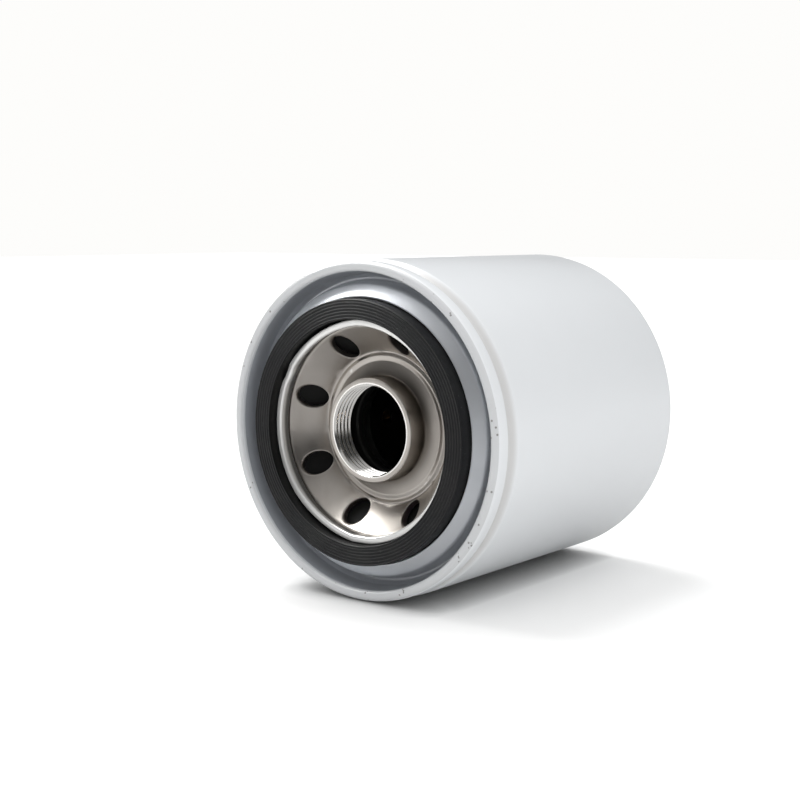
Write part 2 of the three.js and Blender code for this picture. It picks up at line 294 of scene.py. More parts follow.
def turnsOf(corners, closed):
    # Unit direction into and out of each corner, the signed turn between them and the legs' lengths.
    spot = corners[:, :2]
    ahead = np.roll(spot, -1, 0) - spot
    length = np.hypot(ahead[:, 0], ahead[:, 1])
    ahead = ahead / length[:, None]
    came = np.roll(ahead, 1, 0)
    turn = np.arctan2(came[:, 0] * ahead[:, 1] - came[:, 1] * ahead[:, 0], (came * ahead).sum(1))
    if not closed:
        turn[[0, -1]] = 0
    return came, ahead, turn, length


def roundLine(corners, closed=True, steps=5):
    # Rounds the corners (radius, along, bend) of a line. Each corner becomes an arc: its start, plus
    # bend times (sin t of the way ahead + (1 - cos t) of the way inwards), t from 0 to the turn.
    corners = np.array(corners, float)
    came, _, turn, length = turnsOf(corners, closed)
    room = 0.49 * np.minimum(length, np.roll(length, 1))
    half = np.tan(np.abs(turn) / 2)
    reach = np.minimum(corners[:, 2] * half, room)
    bend = np.where(half > 1e-6, reach / np.maximum(half, 1e-6), 0)
    t = np.abs(turn)[:, None] * np.linspace(0, 1, steps + 1)
    inward = np.sign(turn)[:, None] * np.column_stack([-came[:, 1], came[:, 0]])
    start = corners[:, :2] - (bend * half)[:, None] * came
    sweep = np.sin(t)[..., None] * came[:, None] + (1 - np.cos(t))[..., None] * inward[:, None]
    points = (start[:, None] + bend[:, None, None] * sweep).reshape(-1, 2)
    step = np.linalg.norm(points - np.roll(points, 1, 0), axis=1)
    keep = step > 1e-3
    if not closed:
        keep[0] = True
    return points[keep]


def setOver(line, wall):
    # The line of (radius, along, bend) corners moved to its left by the wall, mitred at each corner,
    # where the bend grows or shrinks by the wall.
    line = np.array(line, float)
    came, ahead, turn, _ = turnsOf(line, False)
    came[0], ahead[-1] = ahead[0], came[-1]
    left = np.column_stack([-came[:, 1] - ahead[:, 1], came[:, 0] + ahead[:, 0]])
    over = line.copy()
    over[:, :2] += left * (wall / (1 + (came * ahead).sum(1)))[:, None]
    over[:, 2] = np.maximum(line[:, 2] - wall * np.sign(turn), 0.05)
    return over


def pressed(line, wall, edge, closed=True):
    # Outline of a pressed sheet: its line of corners, and the same line set over by the wall.
    line = np.array(line, float)
    over = setOver(line, wall)
    line[[0, -1], 2] = over[[0, -1], 2] = edge
    return roundLine(np.vstack([line, over[::-1]]), closed)


def turned(outline, count, start=0.0):
    # Turns (radius, along) about the Y axis: x = radius cos a, y = along, z = radius sin a.
    a = math.radians(start) + np.linspace(0, 2 * np.pi, count, endpoint=False)
    radius, along = outline.T
    flat = np.ones_like(a)[:, None]
    return np.stack([np.cos(a)[:, None] * radius, flat * along, np.sin(a)[:, None] * radius], -1)


def woven(points, roundU=True, roundV=True):
    # Corners and four-sided faces of a grid of points, joined up where a direction goes round.
    nu, nv = points.shape[:2]
    u, v = np.meshgrid(np.arange(nu - (not roundU)), np.arange(nv - (not roundV)), indexing="ij")
    nextU, nextV = (u + 1) % nu, (v + 1) % nv
    faces = np.stack([u * nv + v, nextU * nv + v, nextU * nv + nextV, u * nv + nextV], -1)
    return points.reshape(-1, 3), faces.reshape(-1, 4)


def makePiece(name, grids, body, material, replaces, sharp=38):
    # One closed mesh from woven grids: seams and poles are merged, then the faces are turned outwards.
    corners, faces, used = [], [], 0
    for points, quads in grids:
        corners.append(points * mm)
        faces.append(quads + used)
        used += len(points)
    mesh = bpy.data.meshes.new(name)
    mesh.from_pydata(np.concatenate(corners).tolist(), [], np.concatenate(faces).tolist())
    work = bmesh.new()
    work.from_mesh(mesh)
    bmesh.ops.remove_doubles(work, verts=work.verts, dist=2e-6)
    bmesh.ops.recalc_face_normals(work, faces=work.faces)
    loose = sum(1 for e in work.edges if len(e.link_faces) != 2)
    work.to_mesh(mesh)
    work.free()
    mesh.polygons.foreach_set("use_smooth", np.ones(len(mesh.polygons), bool))
    mesh.set_sharp_from_angle(angle=math.radians(sharp))
    mesh.materials.append(material)
    made = addObject(name, mesh)
    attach(made, body)
    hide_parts(replaces)
    print(f"{name}: {len(mesh.polygons)} faces" + (f", {loose} open edges" if loose else ""))
    return made


def holeTile(halfA, halfB, countA, countB, outline, edge, rows, steps=5):
    # A rectangle of a sheet with a hole in its middle, as a grid that runs round the hole and, across,
    # from the rectangle's rim to the hole, round its edge, through the wall and out again behind.
    # Gives the two places on the sheet, the share of the way to the rim, the side (0 front, 1 back)
    # and how far the rounded edge drops below that side.
    along = np.linspace(-1, 1, countA, endpoint=False)
    up = np.linspace(-1, 1, countB, endpoint=False)
    rimA = halfA * np.concatenate([along, np.ones(countB), -along, -np.ones(countB)])
    rimB = halfB * np.concatenate([-np.ones(countA), up, np.ones(countA), -up])
    out = (1 + np.cos(np.linspace(0, np.pi, rows))) / 2
    bend = np.linspace(0, np.pi / 2, steps)
    share = np.concatenate([out, np.zeros(2 * steps), out[::-1]])
    wider = 1 - np.sin(bend)
    grow = edge * np.concatenate([np.ones(rows), wider, wider[::-1], np.ones(rows)])
    fall = edge * (1 - np.cos(bend))
    drop = np.concatenate([np.zeros(rows), fall, -fall[::-1], np.zeros(rows)])
    side = np.repeat([0.0, 1.0], rows + steps)
    holeA, holeB = outline(rimA[:, None], rimB[:, None], grow[None])
    a = holeA + (rimA[:, None] - holeA) * share
    b = holeB + (rimB[:, None] - holeB) * share
    flat = np.ones_like(a)
    return a, b, share * flat, side * flat, drop * flat


def ease(x, low, high):
    # Smooth step from 0 at low to 1 at high.
    t = np.clip((x - low) / (high - low), 0, 1)
    return t * t * (3 - 2 * t)


def noise(where, scale, detail, **more):
    fed = [("Vector", where), ("Scale", scale), ("Detail", detail), *more.items()]
    return node(where.id_data, "TexNoise", fed).outputs["Fac"]


def stretched(values, scales):
    # A place made of three values, each times its own scale.
    fed = [(i, times(value, scale)) for i, (value, scale) in enumerate(zip(values, scales))]
    return node(values[0].id_data, "CombineXYZ", fed).outputs[0]


def radiusOf(tree):
    # Distance from the axis: sqrt(x^2 + z^2).
    x, _, z = axes(tree)
    return sums("SQRT", sums("ADD", times(x, x), times(z, z)))


def blend(share, first, second):
    # Share times the first mask plus the rest of the second.
    return sums("MULTIPLY_ADD", first, share, times(second, 1 - share))


def startGroup(name, **inputs):
    tree = bpy.data.node_groups.new(name, "ShaderNodeTree")
    for label, value in inputs.items():
        socket = tree.interface.new_socket(label, in_out="INPUT", socket_type="NodeSocketFloat")
        socket.default_value = value
    return tree, tree.nodes.new("NodeGroupInput").outputs


def endGroup(tree, **results):
    for label in results:
        tree.interface.new_socket(label, in_out="OUTPUT", socket_type="NodeSocketFloat")
    feed(tree.nodes.new("NodeGroupOutput"), results.items())
    return tree


def useGroup(tree, group, **values):
    made = tree.nodes.new("ShaderNodeGroup")
    made.node_tree = group
    return feed(made, values.items()).outputs


def makeGrain():
    # Fine even texture: noise at one scale plus a quarter of noise at four times that scale.
    tree, given = startGroup("fineGrain", scale=600.0, rough=0.6)
    where = ownPlace(tree)
    coarse = noise(where, given["scale"], 3.0, Roughness=given["rough"])
    fine = noise(where, times(given["scale"], 4.0), 2.0)
    both = sums("MULTIPLY_ADD", fine, 0.25, coarse)
    return endGroup(tree, height=both, mask=mapped(coarse, 0.35, 0.65))


def makeTurningMarks():
    # Fine circles about the Y axis, as a drawn or turned face has: noise over the distance from the
    # axis, with a little of x and z so that a line fades as it goes round.
    tree, given = startGroup("turningMarks", lines=4000.0, fade=40.0)
    x, y, z = axes(tree)
    slant = sums("MULTIPLY_ADD", y, 0.7, radiusOf(tree))
    place = stretched((slant, x, z), (given["lines"], given["fade"], given["fade"]))
    lines = noise(place, 1.0, 4.0)
    return endGroup(tree, height=lines, mask=mapped(lines, 0.4, 0.66))


def makeSmudges():
    # Broad soft patches, as handling and an oil film leave: a warped noise, from none where it is
    # 0.5 - 0.3 contrast to full where it is 0.5 + 0.3 contrast.
    tree, given = startGroup("smudges", scale=35.0, contrast=0.5)
    broad = noise(ownPlace(tree), given["scale"], 4.0, Distortion=0.6)
    low, high = (sums("MULTIPLY_ADD", given["contrast"], lean, 0.5) for lean in (-0.3, 0.3))
    return endGroup(tree, mask=mapped(broad, low, high))


def makeSpecks():
    # Tiny scattered dots: the middle of each cell of a random pattern, kept where a noise is high.
    tree, given = startGroup("specks", scale=900.0, size=0.2, amount=0.5)
    where = ownPlace(tree)
    cells = node(tree, "TexVoronoi", [("Vector", where), ("Scale", given["scale"])])
    patches = noise(where, times(given["scale"], 0.31), 1.0)
    near = sums("LESS_THAN", cells.outputs["Distance"], given["size"])
    least = sums("MULTIPLY_ADD", given["amount"], -0.35, 0.85)
    return endGroup(tree, mask=times(near, sums("GREATER_THAN", patches, least)))


def makeEdgeRub():
    # Worn edges: how convex the surface is, times a broken noise.
    tree, given = startGroup("edgeRub", start=0.55, full=0.65, scale=300.0)
    convex = node(tree, "NewGeometry").outputs["Pointiness"]
    edge = mapped(convex, given["start"], given["full"])
    broken = mapped(noise(ownPlace(tree), given["scale"], 5.0), 0.45, 0.6)
    return endGroup(tree, mask=times(edge, broken))


grain = makeGrain()
turningMarks = makeTurningMarks()
smudges = makeSmudges()
specks = makeSpecks()
edgeRub = makeEdgeRub()

canPaint = {
    "colour": (0.70, 0.718, 0.735),
    "dulled": (0.685, 0.702, 0.718),
    # painted shade: the front band of the rim is darker
    "rimShadeColour": (0.54, 0.55, 0.56),
    "speckColour": (0.12, 0.11, 0.10),
    "speckShare": 0.75,
    "roughness": (0.36, 0.46),
    "coat": 0.3,
    "coatRoughness": 0.12,
    "groove": (4.3, 5.2, 7.1, 8.5),     # its shade starts, is full, fades and ends this far back
    "grooveShadeColour": (0.585, 0.583, 0.58),
    "orangePeel": (420.0, 0.08, 0.02),  # scale, strength, distance
    "nickAndShadeBand": 0.55,                   # the rim's painted shade and its nicks lie this far behind the front of the rim
}


def makeCanPaint():
    # Gloss paint: two tones in patches, a rim darkened by painted shade and nicked, a painted shade in
    # the groove and a little dust.
    material, tree = newMaterial("canPaint")
    c = canPaint
    scale, strength, distance = c["orangePeel"]
    soft = useGroup(tree, smudges, scale=22.0, contrast=0.9)["mask"]
    dust = useGroup(tree, specks, scale=420.0, size=0.09, amount=0.28)["mask"]
    nicks = useGroup(tree, specks, scale=700.0, size=0.22, amount=0.72)["mask"]
    peel = useGroup(tree, grain, scale=scale, rough=0.45)["height"]
    along = axes(tree)["Y"]
    # the rim's front band, where painted shade darkens the paint and nicks mark it
    onRim = sums("LESS_THAN", along, cadBand("can", c["nickAndShadeBand"]))
    marks = sums("MAXIMUM", dust, times(nicks, onRim))
    # painted shade in the groove behind the bead
    starts, full, fades, ends = (cadBand("can", v) for v in c["groove"])
    inGroove = times(softStep(along, starts, full), softStep(along, ends, fades))
    colour = layered(c, (soft, "dulled"), (onRim, "rimShadeColour"), (inGroove, "grooveShadeColour"),
                     (times(marks, c["speckShare"]), "speckColour"))
    return dress(material, colour, between(soft, *c["roughness"]), [(peel, strength, distance)],
                 ("Coat Weight", c["coat"]), ("Coat Roughness", c["coatRoughness"]))


canShell = {
    "wall": 0.7,
    "rimWidth": 3.15,   # outside of the can to the rim's inner edge
    "crown": 0.49,      # bend of the rim's top, as a share of its width
    "edge": 0.25,
    "beadInset": 0.35,
    "neckInset": 1.55,
    "neckFront": 5.4,   # rim's front to the groove behind the bead
    "neckLength": 1.2,
    "shoulder": 1.6,
    "cornerBend": 4.0,
    "endMargin": 16.5,  # flat ring round the sunk middle of the closed end
    "endSink": 1.0,
    "hook": 0.4,        # the rolled edge reaches down this far inside
}


def makeCan():
    # The line runs from the middle of the closed end to the rolled rim, and is set over by the wall.
    front, back, outer = span("can")
    c = canShell
    sunk = outer - c["endMargin"]
    bead, neck, inner = outer - c["beadInset"], outer - c["neckInset"], outer - c["rimWidth"]
    crown = c["crown"] * (bead - inner)
    sink, neckStart = back - c["endSink"], front + c["neckFront"]
    neckStop = neckStart + c["neckLength"]
    line = [
        (0, sink, 0),
        (sunk - c["endSink"], sink, 1.2),
        (sunk, back, 1.2),
        (outer, back, c["cornerBend"]),
        (outer, neckStop + c["shoulder"], 1.1),
        (neck, neckStop, 0.9),
        (neck, neckStart, 0.6),
        (bead, neckStart - c["neckLength"], 0.7),
        (bead, front, crown),
        (inner, front, crown),
        (inner, front + (bead - inner) / 2 + c["hook"], 0.1),
    ]
    outline = pressed(line, -c["wall"], c["edge"], closed=False)
    grid = woven(turned(outline, 256), roundV=False)
    makePiece("canShell", [grid], "housing", makeCanPaint(), "can")


makeCan()

seamPlate = {
    "wall": 0.8,
    "grooveOuter": 36.35,      # radii
    "lipOuter": 30.55,
    "lipInner": 28.65,
    "land": 1.1,               # depths below the top of the lip
    "grooveFloor": 2.6,
    "line": (                  # radius, depth, bend: from the seam down the channel and up to the land
        (44.5, 0.9, 0.2), (43.5, 0.9, 0.15), (43.05, 3.4, 3.0), (42.7, 5.6, 0.3), (41.7, 7.0, 1.0),
        (40.95, 7.0, 1.0), (39.95, 3.1, 1.5), (36.75, 1.2, 0.4),
    ),
    "corners": (               # angle of a corner of the clinched lip, and its sink before the next
        (92, 0.50), (146, 0.42), (157, 0.12), (219, 0.48),
        (265, 0.14), (277, 0.16), (320, 0.10), (380, 0.16),
    ),
    "lipBlend": 0.3,           # outside the lip, where its sink and its looks end
    "sinkFull": 0.6,           # depth down to which the sink is full
    "colour": (0.76, 0.785, 0.82),
    "dulled": (0.67, 0.695, 0.73),
    "wallShadeColour": (0.47, 0.485, 0.51),
    "wallFrom": (39.6, 41.4),  # radii between which the plate turns to the painted shade of its outer wall
    "lipColour": (0.90, 0.895, 0.88),
    "lipShadeColour": (0.20, 0.195, 0.185),
    "lipShade": (0.8, 2.0),    # painted shade darkens the lip's inside between these depths
    "roughness": (0.32, 0.42),
    "lipRoughness": 0.27,
    "metallic": (0.74, 0.65),  # of the plate and of its lip
}


def makePlateSteel():
    # Painted plate in two tones, with painted shade up its outer wall, and a bare lip with painted shade
    # inside.
    material, tree = newMaterial("platedSteel")
    p = seamPlate
    lines = useGroup(tree, turningMarks, lines=2600.0, fade=60.0)
    soft = useGroup(tree, smudges, scale=60.0, contrast=0.9)["mask"]
    pits = useGroup(tree, grain, scale=1500.0, rough=0.6)["height"]
    radius = radiusOf(tree)
    onWallShade = softStep(radius, *(v * mm for v in p["wallFrom"]))
    plate = layered(p, (soft, "dulled"), (onWallShade, "wallShadeColour"))
    # painted shade inside the lip, growing with depth
    inside = softStep(axes(tree)["Y"], *(cadBand("seam_plate", v) for v in p["lipShade"]))
    lip = colourMix(inside, p["lipColour"], p["lipShadeColour"])
    onLip = sums("LESS_THAN", radius, (p["lipOuter"] + p["lipBlend"]) * mm)
    rough = between(blend(0.4, lines["mask"], soft), *p["roughness"])
    return dress(material, colourMix(onLip, plate, lip),
                 between(onLip, rough, p["lipRoughness"]),
                 [(lines["height"], 0.12, 0.02), (pits, 0.12, 0.01)],
                 ("Metallic", between(onLip, *p["metallic"])))


def makeSeamPlate():
    # Turned from its front line, the hemmed lip and the front line set over by the wall. Between two
    # corners of the lip its radius is less by sink * sin(pi * share of the way).
    front = span("seam_plate")[0]
    p = seamPlate
    outer, lipOuter, lipInner = p["grooveOuter"], p["lipOuter"], p["lipInner"]
    floor = front + p["grooveFloor"]
    line = [(r, front + deep, bend) for r, deep, bend in p["line"]]
    line += [(outer, front + p["land"], 0.3), (outer, floor, 0.35), (lipOuter, floor, 0.3)]
    behind = setOver(line, -p["wall"])[:-1]
    lip = [(lipOuter, front, 0.35), (lipInner, front, 0.6), (lipInner, floor + p["wall"], 0.3)]
    outline = roundLine(np.vstack([line, lip, behind[::-1]]), steps=7)
    grid = turned(outline, 288)
    a = np.linspace(0, 360, 288, endpoint=False)[:, None]
    corner, sink = np.array(p["corners"], float).T
    way = (a[:, 0] - corner[0]) % 360
    which = np.searchsorted(corner - corner[0], way, "right") - 1
    length = np.diff(np.append(corner, corner[0] + 360))
    pull = sink[which] * np.sin(np.pi * (way - corner[which] + corner[0]) / length[which])
    radius, along = outline.T
    onLip = 1 - ease(radius, lipOuter + 0.01, lipOuter + p["lipBlend"])
    onLip *= 1 - ease(along, front + p["sinkFull"], floor)
    grid[..., [0, 2]] *= (1 - pull[:, None] * onLip / radius)[..., None]
    plated = makePlateSteel()
    makePiece("seamPlate", [woven(grid)], "housing", plated, "seam_plate", sharp=32)


makeSeamPlate()

sealingGasket = {
    "inner": 30.65,
    "outer": 36.05,
    "bend": 0.45,
    "edge": 0.18,
    "ridges": 6,
    "rowsPerRidge": 10,
    "ridgeHeight": 0.17,
    "shadedTo": 30.75,  # painted shade darkens the gasket's inner wall out to this radius
    "colour": (0.009, 0.0094, 0.0105),
    "dusty": (0.023, 0.0225, 0.022),
    "roughness": (0.40, 0.58),
}

rubberDustAndShade = {
    "dots": 2.2,  # brightness of a dot of dust, times that of the dusty colour
    "innerShade": 0.1,  # brightness of the painted shade nearer the axis than the shade radius, times that of the plain colour
    "specular": 0.3,
}


def makeRubber(name, colour, dusty, roughness, shadeRadius=0.0):
    # Two tones in fine dust and paler dots; nearer the axis than the shade radius a painted shade takes
    # their place.
    material, tree = newMaterial(name)
    soft = useGroup(tree, smudges, scale=90.0, contrast=0.7)["mask"]
    fine = useGroup(tree, grain, scale=2200.0, rough=0.7)
    dots = useGroup(tree, specks, scale=1300.0, size=0.2, amount=0.5)["mask"]
    base = colourMix(times(soft, fine["mask"]), colour, dusty)
    spotted = colourMix(dots, base, [rubberDustAndShade["dots"] * v for v in dusty])
    # painted shade: far darker than the plain colour nearer the axis than the shade radius
    inside = sums("LESS_THAN", radiusOf(tree), shadeRadius * mm)
    tone = colourMix(inside, spotted, [rubberDustAndShade["innerShade"] * v for v in colour])
    return dress(material, tone, between(fine["mask"], *roughness), [(fine["height"], 0.3, 0.015)],
                 ("Specular IOR Level", rubberDustAndShade["specular"]))


def makeSealingGasket():
    # A square ring whose face is a row of round ridges: along = front + height * sin^2(pi * ridge).
    front, back = span("sealing_gasket")[:2]
    g = sealingGasket
    inner, outer, edge = g["inner"], g["outer"], g["edge"]
    share = np.linspace(0, 1, g["ridges"] * g["rowsPerRidge"] + 1)
    faceR = outer - edge - share * (outer - inner - 2 * edge)
    faceY = front + g["ridgeHeight"] * np.sin(np.pi * g["ridges"] * share) ** 2
    rim = roundLine([
        (inner + edge, front, 0), (inner, front + edge, edge), (inner, back, g["bend"]),
        (outer, back, g["bend"]), (outer, front + edge, edge), (outer - edge, front, 0),
    ], closed=False)
    outline = np.vstack([np.column_stack([faceR, faceY]), rim[1:-1]])
    black = makeRubber("gasketRubber", g["colour"], g["dusty"], g["roughness"], g["shadedTo"])
    grid = woven(turned(outline, 224))
    makePiece("sealingGasket", [grid], "housing", black, "sealing_gasket", sharp=50)


makeSealingGasket()

threadPlate = {
    "wall": 2.2,
    "dishRadius": 28.65,
    "dishDepth": 8.3,
    "valleyRadius": 21.1,     # where the dish meets the ring
    "ringWidth": 2.4,
    "ringHeight": 0.75,
    "crest": (0.42, 0.60),    # shares of the ring's width where its flat top starts and ends
    "valleyRise": 0.2,        # above the bottom of the dish
    "hubRise": 1.5,
    "neckRadius": 14.4,
    "neckHeight": 7.7,        # above the bottom of the dish
    "boreRadius": 12.2,
    "boreMouth": 12.75,
    "mouthSlope": 0.4,        # how steeply the thread deepens from the bore's mouth
    "boreFlare": (3.4, 4.2),  # the bore opens out behind the thread: length, and growth in radius
    "pitch": 1.5,
    "rowsPerPitch": 12,
    "threadDepth": 0.8,
    "holes": 8,
    "holeCircle": 24.85,   # radius of the circle of holes
    "holeTurn": -17.5,
    "holeRadial": 3.12,    # half sizes of a hole
    "holeAcross": 3.18,
    "holeEdge": 0.45,
    "holeLean": 0.8,       # a hole leans outwards by this much through the wall
    "counts": (32, 10),    # columns and rows of points to a hole
    "tile": (20.7, 28.9),  # radii between which the sheet is laid out round the holes
    "colour": (0.63, 0.592, 0.55),
    "dulled": (0.53, 0.492, 0.452),
    "wornColour": (0.78, 0.76, 0.73),
    "threadColour": (0.95, 0.93, 0.90),
    "threadRoughness": 0.14,
    "threadTo": 13.1,          # the thread's looks end at this radius
    "oilAndShadeColour": (0.14, 0.12, 0.10),
    "oilAndShadeShare": 0.85,
    "oilAndShadeFrom": 13.9,           # the oil and painted shade stop short of the axis at this radius
    "oilAndShadeRing": (18.4, 14.2),  # radii between which the oil and painted shade round the neck start and are full
    "oilAndShadeDepth": (5.5, 1.0),   # and how far in front of the neck's root
    "roughness": (0.27, 0.38),
}


def makeNickel():
    # Nickelled steel in two tones, bright where edges are worn and in the thread. Old oil and painted
    # shade darken the corner round the neck: their share is the nearness to the neck times the nearness
    # to its root.
    material, tree = newMaterial("nickelSteel")
    p = threadPlate
    lines = useGroup(tree, turningMarks, lines=1900.0, fade=90.0)
    soft = useGroup(tree, smudges, scale=70.0, contrast=0.8)["mask"]
    pits = useGroup(tree, grain, scale=1100.0, rough=0.6)["height"]
    worn = useGroup(tree, edgeRub, start=0.54, full=0.62, scale=500.0)["mask"]
    radius = radiusOf(tree)
    root = cadBand("thread_plate", p["dishDepth"] - p["hubRise"])
    near = softStep(radius, *(v * mm for v in p["oilAndShadeRing"]))
    deep = mapped(axes(tree)["Y"], *(root - v * mm for v in p["oilAndShadeDepth"]))
    outside = sums("GREATER_THAN", radius, p["oilAndShadeFrom"] * mm)
    oilAndShadeMask = times(times(near, deep), times(outside, p["oilAndShadeShare"]))
    inBore = sums("LESS_THAN", radius, p["threadTo"] * mm)
    colour = layered(p, (soft, "dulled"), (worn, "wornColour"), (inBore, "threadColour"), (oilAndShadeMask, "oilAndShadeColour"))
    rough = between(blend(0.5, lines["mask"], soft), *p["roughness"])
    return dress(material, colour, between(inBore, rough, p["threadRoughness"]),
                 [(lines["height"], 0.3, 0.03), (pits, 0.15, 0.015)], ("Metallic", 1.0))


def makeThreadPlate():
    # The front and back are lines turned about Y. Between two radii they are heights over the radius,
    # laid out as eight tiles, each with a hole: height = front (1 - side) + back side + drop.
    front, back, outer = span("thread_plate")
    p = threadPlate
    dish, neck, pitch = p["dishRadius"], p["neckRadius"], p["pitch"]
    boreAt, mouth = p["boreRadius"], p["boreMouth"]
    floor = front + p["dishDepth"]
    neckEnd = floor - p["neckHeight"]
    slope = (dish - p["valleyRadius"]) / p["dishDepth"]
    behind = p["wall"] * math.hypot(1, slope)
    flangeBack = front + p["wall"]
    valley, width, crest = p["valleyRadius"], p["ringWidth"], floor - p["ringHeight"]
    face = roundLine([
        (outer, front, 0),
        (dish, front, 1.0),
        (valley, floor - p["valleyRise"], 1.2),
        (valley - p["crest"][0] * width, crest, 0.6),
        (valley - p["crest"][1] * width, crest, 0.6),
        (valley - width, floor - 0.8 * p["ringHeight"], 1.6),
        (neck, floor - p["hubRise"], 0.7),
        (neck, neckEnd, 0.4),
        (mouth, neckEnd, 0),
    ], closed=False, steps=7)
    flare, growth = p["boreFlare"]
    rear = roundLine([
        (boreAt + growth, back, 0),
        (dish - (back - front) * slope + behind, back, 1.0),
        (dish - (flangeBack - front) * slope + behind, flangeBack, 1.0),
        (outer, flangeBack, 0),
    ], closed=False)
    inner, rim = p["tile"]
    last = np.argmax(face[:, 0] < valley - 0.5 * width)    # up to the crest each radius comes once
    frontAt = lambda r: np.interp(r, *face[:last][::-1].T)
    backAt = lambda r: np.interp(r, *rear.T)
    start = p["holeTurn"] - 180 / p["holes"]
    columns = p["counts"][0] * p["holes"]
    cut = lambda r, heightAt: [(r, heightAt(r))]
    flange = np.vstack([face[face[:, 0] > rim][::-1], rear[rear[:, 0] > rim][::-1]])
    outside = np.vstack([cut(rim, frontAt), flange, cut(rim, backAt)])
    insideFace = np.vstack([cut(inner, frontAt), face[face[:, 0] < inner]])
    insideRear = np.vstack([rear[rear[:, 0] < inner], cut(inner, backAt)])

    middle, circle = (inner + rim) / 2, p["holeCircle"]

    def hole(a, b, grow):
        way = np.arctan2((middle + b - circle) / p["holeRadial"], a * middle / p["holeAcross"])
        across = (p["holeAcross"] + grow) * np.cos(way)
        up = circle + (p["holeRadial"] + grow) * np.sin(way)
        return np.arctan2(across, up), np.hypot(across, up) - middle

    halfTurn, half = math.pi / p["holes"], (rim - inner) / 2
    a, b, share, side, drop = holeTile(halfTurn, half, *p["counts"], hole, p["holeEdge"], 14)
    r = middle + b + p["holeLean"] * side * (1 - share)
    along = frontAt(r) * (1 - side) + backAt(r) * side + drop
    turn = np.radians(p["holeTurn"] + np.arange(p["holes"]) * 360 / p["holes"])[:, None, None] + a
    tiles = np.stack([r * np.cos(turn), along + 0 * turn, r * np.sin(turn)], -1)

    # Bore: the radius grows into the thread's groove, a flat-topped triangle wave of the distance along
    # the helix, kept between the chamfers at both mouths.
    u = np.linspace(0, 1, columns + 1)[:, None]
    perPitch = p["rowsPerPitch"]
    rows = np.arange(int(perPitch * ((back - neckEnd) / pitch + 1)) + 2)
    y = np.clip(neckEnd - pitch * u + pitch * rows / perPitch, neckEnd, back)
    wave = 1 - np.abs(2 * (((y - neckEnd) / pitch + u) % 1) - 1)
    groove = p["threadDepth"] * np.clip((wave - 1 / 6) * 1.5, 0, 1)
    deepest = mouth + p["mouthSlope"] * (y - neckEnd)
    radius = np.clip(boreAt + groove, mouth - y + neckEnd, deepest)
    opened = boreAt + growth * np.sqrt(np.clip((y - back) / flare + 1, 0, 1))
    radius = np.where(y > back - flare, np.maximum(opened, np.where(y < back, radius, 0)), radius)
    spin = math.radians(start) + 2 * np.pi * u
    bore = np.stack([radius * np.cos(spin), y, radius * np.sin(spin)], -1)

    bands = [turned(line, columns, start) for line in (outside, insideFace, insideRear)]
    grids = [woven(points, roundV=False) for points in (*bands, *tiles)]
    grids.append(woven(bore, roundU=False, roundV=False))
    nickel = makeNickel()
    makePiece("threadPlate", grids, "housing", nickel, "thread_plate", sharp=30)


makeThreadPlate()

# The inner pieces are turned rings and pressings, pierced walls, folded sheets and wound wire.


def makeTurned(name, spec, body, material, columns=144):
    # Corners (radius, depth behind the front of the node it replaces, bend) turned about the axis: the
    # outline of a solid ring, or the line of a pressed sheet, set over by its wall.
    front = span(spec["node"])[0]
    line = [(r, front + deep, bend) for r, deep, bend in spec["line"]]
    outline = pressed(line, spec["wall"], spec["edge"]) if "wall" in spec else roundLine(line)
    makePiece(name, [woven(turned(outline, columns))], body, material, spec["node"])


def roundHole(halfA, halfB, power):
    # Outline with |a / halfA|^power + |b / halfB|^power = 1: a circle at 2, a rounded window above.
    def outline(a, b, grow):
        size = np.hypot(a, b)
        wide, high = np.abs(a / size) / (halfA + grow), np.abs(b / size) / (halfB + grow)
        reach = (wide ** power + high ** power) ** (-1 / power)
        return a / size * reach, b / size * reach
    return outline


def piercedWall(outer, spec, middles, halfB, outline, ends):
    # Rows of tiles wrapped round the axis, every second row half a tile on: x = r cos(turn + a / outer),
    # r = outer - wall side - drop, along = middle of the row + b. The ends are lines of corners, turned
    # about the axis to close the wall.
    perRow, counts = spec["perRow"], spec["counts"]
    a, b, _, side, drop = holeTile(math.pi * outer / perRow, halfB, *counts, outline, spec["edge"], 5)
    r = outer - spec["wall"] * side - drop
    points = [turned(roundLine(end, closed=False), counts[0] * perRow, -180 / perRow) for end in ends]
    for row, middle in enumerate(middles):
        turn = 2 * np.pi * (np.arange(perRow) + 0.5 * (row % 2)) / perRow
        spin = turn[:, None, None] + a / outer
        points += [*np.stack([r * np.cos(spin), middle + b + 0 * spin, r * np.sin(spin)], -1)]
    return [woven(grid, roundV=False) for grid in points]


def folded(inner, outer, front, back, edge=0.15):
    # A sheet that runs along Y between two lines (x, z): its section goes up one side and down the
    # other, x = inner + (outer - inner) side.
    loop = roundLine([(0, front, edge), (1, front, edge), (1, back, edge), (0, back, edge)])
    side, along = loop.T
    flat = inner[:, None] + (outer - inner)[:, None] * side[:, None]
    return np.stack([flat[..., 0], along + 0 * flat[..., 0], flat[..., 1]], -1)


